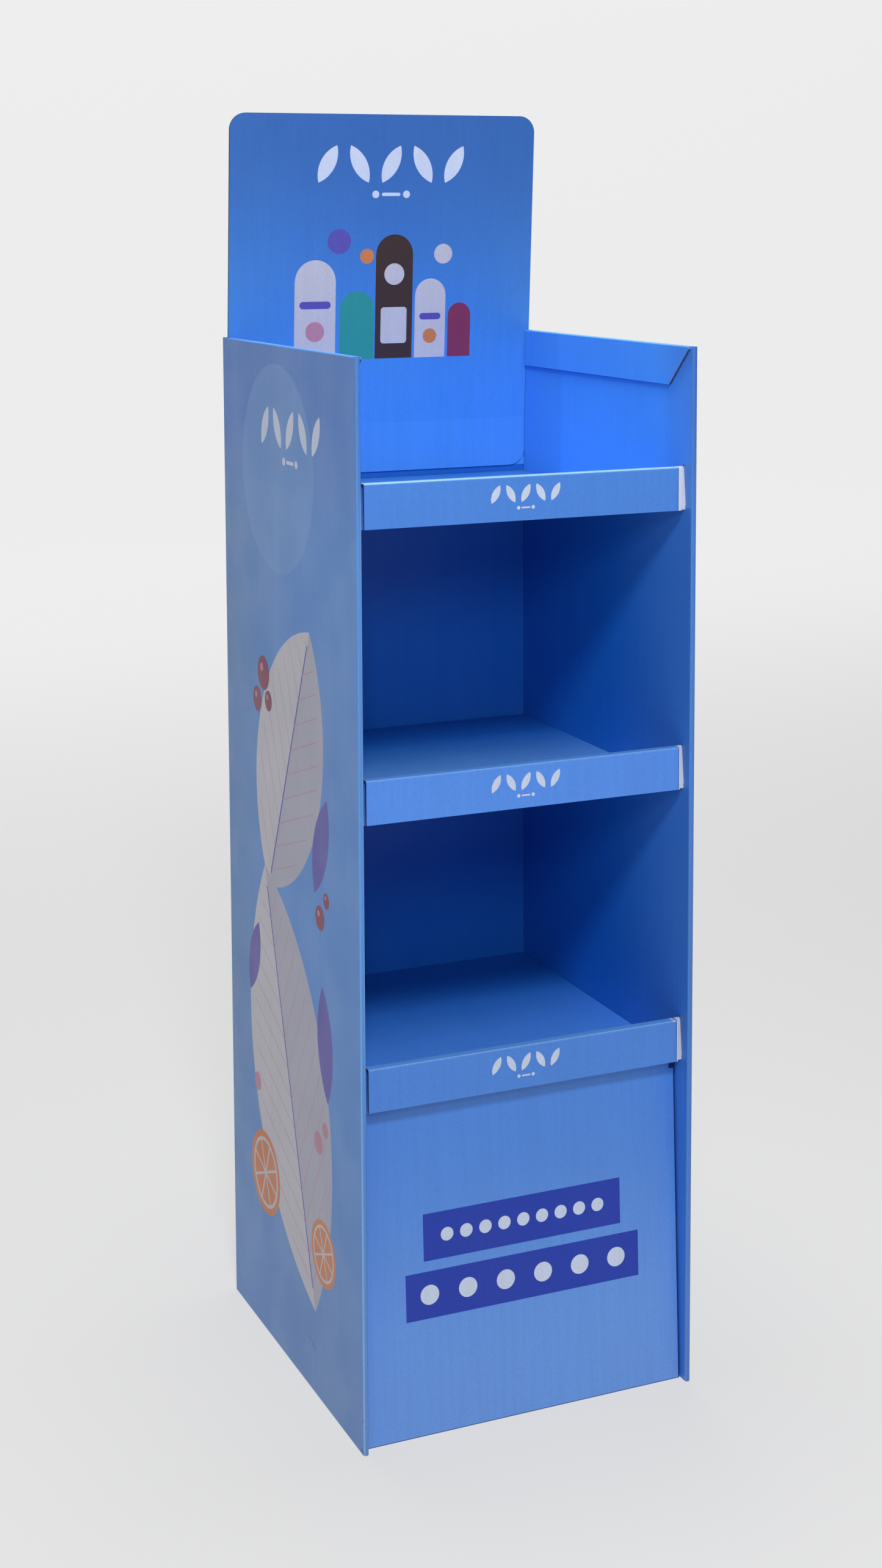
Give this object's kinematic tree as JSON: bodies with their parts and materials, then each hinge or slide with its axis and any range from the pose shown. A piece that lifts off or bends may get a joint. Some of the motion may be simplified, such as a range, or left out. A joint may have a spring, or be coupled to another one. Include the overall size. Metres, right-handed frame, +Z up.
{
  "type": "floor display stand",
  "caption": "Free-standing corrugated cardboard floor display with a header card, lipped shelves between doubled side walls and a closed base.",
  "frame": {"origin": "middle of the footprint, on the floor", "axes": "+Z up, -Y is the open front, +X to the right seen from the front"},
  "size_m": [0.4, 0.43, 1.443],
  "materials": {
    "printed_board": "matt"
  },
  "bodies": {
    "root": {"outer_case": "printed_board", "header_card": "printed_board", "shelf_top": "printed_board", "shelf_middle": "printed_board", "shelf_bottom": "printed_board", "base_front_panel": "printed_board"}
  },
  "joints": []
}
